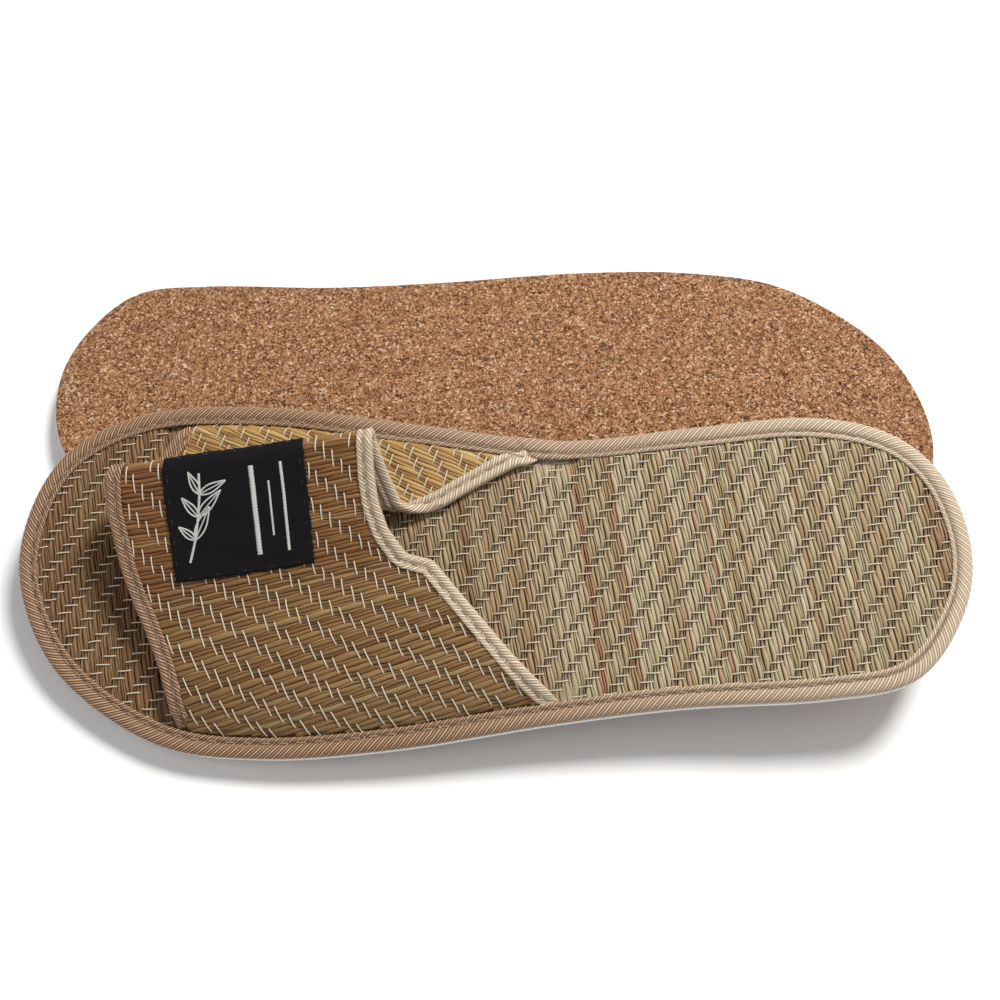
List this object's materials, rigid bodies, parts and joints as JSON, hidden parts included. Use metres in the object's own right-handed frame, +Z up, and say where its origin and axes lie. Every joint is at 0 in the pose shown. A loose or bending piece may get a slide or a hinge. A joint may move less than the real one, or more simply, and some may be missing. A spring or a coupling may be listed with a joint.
{
  "type": "spa slippers",
  "caption": "Pair of open-toe spa slippers of woven rush with cork soles and taped edges, one right side up and leaning on the other, which lies sole up.",
  "frame": {"origin": "middle of the pair's footprint, on the table", "axes": "+Z up from the table; X along the slippers, the left slipper's heel and the right slipper's toe towards +X; the right slipper, sole up, lies behind on the +Y side"},
  "size_m": [0.2824, 0.1646, 0.0531],
  "materials": {
    "cork": "matte",
    "foam": "matte",
    "board": "matte",
    "rush_insole": "satin",
    "rush_upper": "satin",
    "lining": "matte",
    "tape": "satin",
    "thread": "satin",
    "label_cloth": "matte",
    "label_thread": "matte"
  },
  "bodies": {
    "right_slipper": {"right_cork_outsole": "cork", "right_foam_midsole": "foam", "right_insole_backing": "board", "right_insole_mat": "rush_insole", "right_sole_binding": "tape", "right_sole_stitching": "thread", "right_upper_mat": "rush_upper", "right_upper_lining": "lining", "right_toe_binding": "tape", "right_toe_stitching": "thread", "right_throat_binding": "tape", "right_throat_stitching": "thread", "right_label": "label_cloth", "right_label_stitching": "label_thread"},
    "left_slipper": {"left_cork_outsole": "cork", "left_foam_midsole": "foam", "left_insole_backing": "board", "left_insole_mat": "rush_insole", "left_sole_binding": "tape", "left_sole_stitching": "thread", "left_upper_mat": "rush_upper", "left_upper_lining": "lining", "left_toe_binding": "tape", "left_toe_stitching": "thread", "left_throat_binding": "tape", "left_throat_stitching": "thread", "left_label": "label_cloth", "left_label_stitching": "label_thread"}
  },
  "joints": [
    {"name": "left_slipper_lift", "type": "slide", "parent": "right_slipper", "child": "left_slipper", "axis": [0, 0, 1], "range_m": [0, 0.08]}
  ]
}
